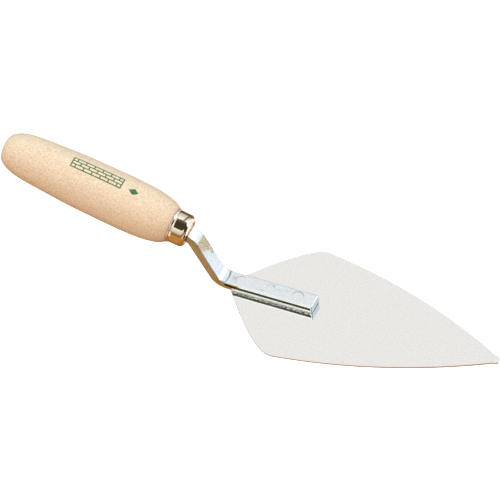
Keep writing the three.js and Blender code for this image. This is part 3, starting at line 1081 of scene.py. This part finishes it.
def late_wood(wood, place):
    """Where the darker late wood of each growth ring is, from 0 to 1."""
    height, _, side = wood.split(place)
    drift = wood.streaks(place, (0.03, 0.012, 0.03))
    up = wood.math("SUBTRACT", height, PITH_UP)
    across = wood.math("SUBTRACT", side, PITH_ACROSS)
    radius = wood.math("SQRT", wood.total(wood.product(up, up), wood.product(across, across)))
    radius = wood.total(radius, wood.product(drift, RING_DRIFT))
    ring = wood.math("FRACT", wood.math("DIVIDE", radius, RING_SPACING))
    return wood.product(wood.ramp(ring, 0.35, 0.93), wood.ramp(ring, 0.93, 1.0, 1, 0))


def make_beech():
    """Turned beech: growth rings seen lengthways, short dark rays, fine fibres and a printed mark."""
    wood = Recipe("handle_beech")
    place = wood.place()
    late = late_wood(wood, place)
    fibres = wood.streaks(place, (1.5, 0.07, 1.5), 4, 0.65)
    speckle = wood.streaks(place, (1.5, 1.0, 1.5), 3, 0.8)
    blush = wood.streaks(place, (1.0, 0.6, 1.0), 2, 0.6, scale=0.9)
    ray = wood.ramp(wood.streaks(place, (2.6, 0.42, 2.6), 1, 0.4), 0.63, 0.70)
    patches = wood.streaks(place, (0.05, 0.018, 0.05))
    worn = wood.ramp(wood.noise(place, 1.9, 3, 0.7), 0.30, 0.42, 0.72, 1)
    ink = wood.product(print_mask(wood, place), worn)
    colour = wood.mix(wood.ramp(patches, 0.35, 0.65), BEECH, BEECH_PATCH)
    colour = wood.mix(wood.ramp(speckle, 0.42, 0.62), colour, BEECH_DARK)
    colour = wood.mix(wood.ramp(speckle, 0.54, 0.34), colour, BEECH_LIGHT)
    colour = wood.mix(wood.ramp(blush, 0.46, 0.66, 0, 0.6), colour, BEECH_BLUSH)
    colour = wood.mix(wood.ramp(fibres, 0.35, 0.72, 0, 0.4), colour, BEECH_FIBRE)
    colour = wood.mix(wood.product(late, 0.28), colour, BEECH_LATE)
    colour = wood.mix(wood.product(ray, 0.32), colour, BEECH_RAY)
    colour = wood.mix(ink, colour, INK_COLOUR)
    wood.set(Specular_IOR_Level=0.35)
    rough = wood.total(wood.ramp(fibres, 0.3, 0.7, 0.50, 0.60), wood.product(ink, -0.08))
    wood.feed(Base_Color=colour, Roughness=rough)
    pores = wood.bump(ray, 0.00003, 0.6, wood.bump(fibres, 0.00004, 0.5))
    wood.feed(Normal=wood.bump(late, 0.00002, 0.5, pores))
    return wood.material


FUSED_DARK = (0.30, 0.29, 0.30)
FUSED_LIGHT = (0.52, 0.48, 0.42)


def make_fused():
    """Fused weld metal: dark, uneven, with heat colours."""
    fused = Recipe("weld_steel")
    uneven = fused.noise(fused.place(), 2.2, 4, 0.7)
    fused.set(Metallic=1.0)
    fused.feed(Base_Color=fused.mix(fused.ramp(uneven, 0.3, 0.7), FUSED_DARK, FUSED_LIGHT))
    fused.feed(Roughness=fused.ramp(uneven, 0.3, 0.7, 0.35, 0.6))
    fused.feed(Normal=fused.bump(uneven, 0.00008))
    return fused.material


# ---------------------------------------------------------------- pieces

DRAWING = Matrix.Translation(HEEL)


def finish_piece(piece, material, node, own_frame=DRAWING):
    mark_places(piece, own_frame)
    piece.data.materials.clear()
    piece.data.materials.append(material)
    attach(piece, "root")
    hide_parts(node)


finish_piece(make_blade(), make_steel(), "blade")
bar = make_shank()
mark_grime(bar)
finish_piece(bar, make_zinc(), "shank")
finish_piece(make_ferrule(), make_brass(), "ferrule", handle_matrix())
grip = turned("handle_grip", handle_profile(), HANDLE_SIDES)
finish_piece(grip, make_beech(), "handle", handle_matrix())
fused_metal = make_fused()
for weld_name, weld_x in zip(WELD_NAMES, WELD_X):
    finish_piece(make_weld(weld_name, weld_x), fused_metal, weld_name)

# ---------------------------------------------------------------- floor, light and camera

MIDDLE = (CAD_BOUNDS[0] + CAD_BOUNDS[1]) / 2
FLOOR_HALF = 3
FLOOR_DROP = 0.0002             # below the blade, so that the two faces never touch


def make_floor():
    """A plain pale floor. Metal and wood don't see it: their light comes from the studio below."""
    corners = ((-1, -1), (1, -1), (1, 1), (-1, 1))
    level = CAD_BOUNDS[0].z - FLOOR_DROP
    points = [(x * FLOOR_HALF, y * FLOOR_HALF, level) for x, y in corners]
    floor = mesh_piece("floor", points, [(0, 1, 2, 3)], smooth=False)
    paper = Recipe("floor_white")
    paper.set(Base_Color=(0.8, 0.8, 0.8), Roughness=0.9)
    paper.set(Emission_Color=(1.0, 1.0, 1.0), Emission_Strength=0.6)
    floor.data.materials.append(paper.material)
    floor.visible_glossy = False
    floor.visible_diffuse = False


NEAR_SIDE = (                   # elevation in degrees and the light that comes from there
    (-90, (0.40, 0.150, 0.015)),
    (-66, (0.43, 0.165, 0.020)),
    (-55, (0.48, 0.195, 0.030)),
    (-48, (0.52, 0.215, 0.035)),
    (-30, (0.58, 0.25, 0.055)),
    (-12, (0.59, 0.275, 0.080)),
    (-4, (0.25, 0.14, 0.06)),
    (2, (0.27, 0.18, 0.10)),
    (12, (0.48, 0.38, 0.27)),
    (17, (0.75, 0.70, 0.62)),
    (30, (0.82, 0.78, 0.72)),
    (39, (0.97, 1.0, 0.97)),
    (50, (1.1, 1.12, 1.12)),
    (90, (1.1, 1.1, 1.1)),
)
RIGHT_SIDE = (
    (-90, (0.25, 0.16, 0.08)),
    (-30, (0.55, 0.42, 0.27)),
    (-12, (0.70, 0.56, 0.39)),
    (-6, (0.80, 0.75, 0.68)),
    (-2, (1.02, 1.04, 1.10)),
    (12, (1.15, 1.20, 1.35)),
    (90, (1.0, 1.0, 1.0)),
)
FAR_SIDE = (
    (-90, (0.25, 0.16, 0.08)),
    (-30, (0.35, 0.23, 0.12)),
    (-10, (0.17, 0.12, 0.06)),
    (2, (0.16, 0.10, 0.05)),
    (10, (0.16, 0.12, 0.08)),
    (17, (0.60, 0.61, 0.62)),
    (38, (0.76, 0.76, 0.79)),
    (46, (0.955, 0.955, 0.955)),
    (52, (0.955, 0.955, 0.955)),
    (58, (1.05, 1.09, 1.2)),
    (90, (1.0, 1.0, 1.0)),
)
# azimuth from, to and its lean, elevation from and to, edge softness, colour; later cards cover earlier
CARDS = (
    (0, 118, 0, 42.5, 90, 2, (0.055, 0.045, 0.030)),
    (118, 160, 0, 66, 90, 4, (0.10, 0.09, 0.06)),
    (-60, -14, 0.25, -26, 9, 1.5, (1.25, 1.17, 1.10)),
    (-42, -18, 0, -60, -36, 8, (0.52, 0.27, 0.095)),
    (-52, -10, 0, 43, 60, 3, (1.5, 1.5, 1.5)),
    (50, 93, 0, 5, 44, 2, (0.035, 0.025, 0.008)),
    (40, 112, 0, -40, -8, 5, (0.66, 0.52, 0.38)),
    (76, 92, 0, -30, 5, 3, (0.12, 0.085, 0.035)),
    (104, 156, 0, -62, 4, 5, (1.10, 1.13, 1.18)),
    (130, 180, 0, -62, -30, 4, (1.10, 1.13, 1.18)),
    (-180, -135, 0, -62, -22, 4, (0.50, 0.34, 0.20)),
    (115, 137, 0, -24, -2, 3, (0.93, 0.97, 0.94)),
)


NEAR_WALL = (-110, 104, 14)     # azimuth from, to and edge softness
RIGHT_WALL = (100, 148, 8)


def elevation_ramp(sky, elevation, stops):
    """The light from each elevation of one side of the studio."""
    share = sky.ramp(elevation, -90, 90, kind="LINEAR")
    node = sky.tree.nodes.new("ShaderNodeValToRGB")
    elements = node.color_ramp.elements
    while len(elements) < len(stops):
        elements.new(0.5)
    for element, (degrees, colour) in zip(elements, stops):
        element.position = (degrees + 90) / 180
        element.color = (*colour, 1)
    sky.tree.links.new(share, node.inputs[0])
    return node.outputs[0]


def make_world():
    """The studio round the trowel: pale walls, a warm table top below, and cards of several shades."""
    world = bpy.data.worlds.new("studio")
    world.use_nodes = True
    sky = NodeTree(world.node_tree)
    x, y, z = sky.split(sky.add("ShaderNodeTexCoord", {}, "Generated"))
    elevation = sky.product(sky.math("ARCSINE", z), math.degrees(1))
    azimuth = sky.product(sky.math("ARCTAN2", x, sky.product(y, -1.0)), math.degrees(1))
    near = sky.window(azimuth, *NEAR_WALL)
    right = sky.window(azimuth, *RIGHT_WALL)
    near_light = elevation_ramp(sky, elevation, NEAR_SIDE)
    colour = sky.mix(near, elevation_ramp(sky, elevation, FAR_SIDE), near_light)
    colour = sky.mix(right, colour, elevation_ramp(sky, elevation, RIGHT_SIDE))
    for low, high, lean, bottom, top, soft, shade in CARDS:
        across = sky.math("SUBTRACT", azimuth, sky.product(elevation, lean))
        card = sky.product(sky.window(across, low, high, soft), sky.window(elevation, bottom, top, soft))
        colour = sky.mix(card, colour, shade)
    background = world.node_tree.nodes["Background"]
    world.node_tree.links.new(colour, background.inputs["Color"])
    bpy.context.scene.world = world


def toward(azimuth, elevation):
    """The direction at an azimuth, from the near side towards +X, and an elevation, in degrees."""
    turn = math.radians(azimuth)
    rise = math.radians(elevation)
    return Vector((math.sin(turn) * math.cos(rise), -math.cos(turn) * math.cos(rise), math.sin(rise)))


# name, azimuth, elevation, distance, size, radiance, colour, and whether metal mirrors it
LIGHTS = (
    ("softbox", 118, 36, 1.4, 0.6, 3.0, (1.0, 1.0, 1.0), True),
    ("fill", 25, 47, 1.6, 1.0, 5.05, (1.0, 1.0, 1.0), False),
    ("overhead", -150, 68, 1.6, 1.0, 4.0, (0.46, 0.80, 1.0), False),
)


def make_light(name, azimuth, elevation, distance, size, radiance, colour, mirrored):
    """A square area light that faces the trowel."""
    data = bpy.data.lights.new(name, "AREA")
    data.shape = "SQUARE"
    data.size = size
    data.energy = radiance * math.pi * size ** 2
    data.color = colour
    light = bpy.data.objects.new(name, data)
    direction = toward(azimuth, elevation)
    light.location = MIDDLE + direction * distance
    light.rotation_euler = direction.to_track_quat("Z", "Y").to_euler()
    light.visible_glossy = mirrored
    bpy.context.scene.collection.objects.link(light)


CAMERA_AZIMUTH = 30.419         # in degrees, from the near side towards +X
CAMERA_ELEVATION = 48.110
CAMERA_ROLL = math.radians(-7.804)
CAMERA_DISTANCE = 2.0007
CAMERA_LENS = 238.12
CAMERA_SENSOR = 36
CAMERA_REACH = 20
AIM_FROM_MIDDLE = Vector((-0.00083, 0.00409, -0.00761))     # where it looks, in metres


def make_camera():
    """Looks down on the trowel from its near side, turned a little about the line of sight."""
    to_camera = toward(CAMERA_AZIMUTH, CAMERA_ELEVATION)
    right = toward(CAMERA_AZIMUTH + 90, 0)
    up = to_camera.cross(right)
    right_rolled = right * math.cos(CAMERA_ROLL) + up * math.sin(CAMERA_ROLL)
    up_rolled = to_camera.cross(right_rolled)
    data = bpy.data.cameras.new("camera")
    data.lens = CAMERA_LENS
    data.sensor_width = CAMERA_SENSOR
    data.clip_end = CAMERA_REACH
    camera = bpy.data.objects.new("camera", data)
    matrix = Matrix((right_rolled, up_rolled, to_camera)).transposed().to_4x4()
    matrix.translation = MIDDLE + AIM_FROM_MIDDLE + to_camera * CAMERA_DISTANCE
    camera.matrix_world = matrix
    bpy.context.scene.collection.objects.link(camera)
    bpy.context.scene.camera = camera


make_floor()
make_world()
for light_values in LIGHTS:
    make_light(*light_values)
make_camera()
bpy.context.scene.view_settings.view_transform = "Standard"
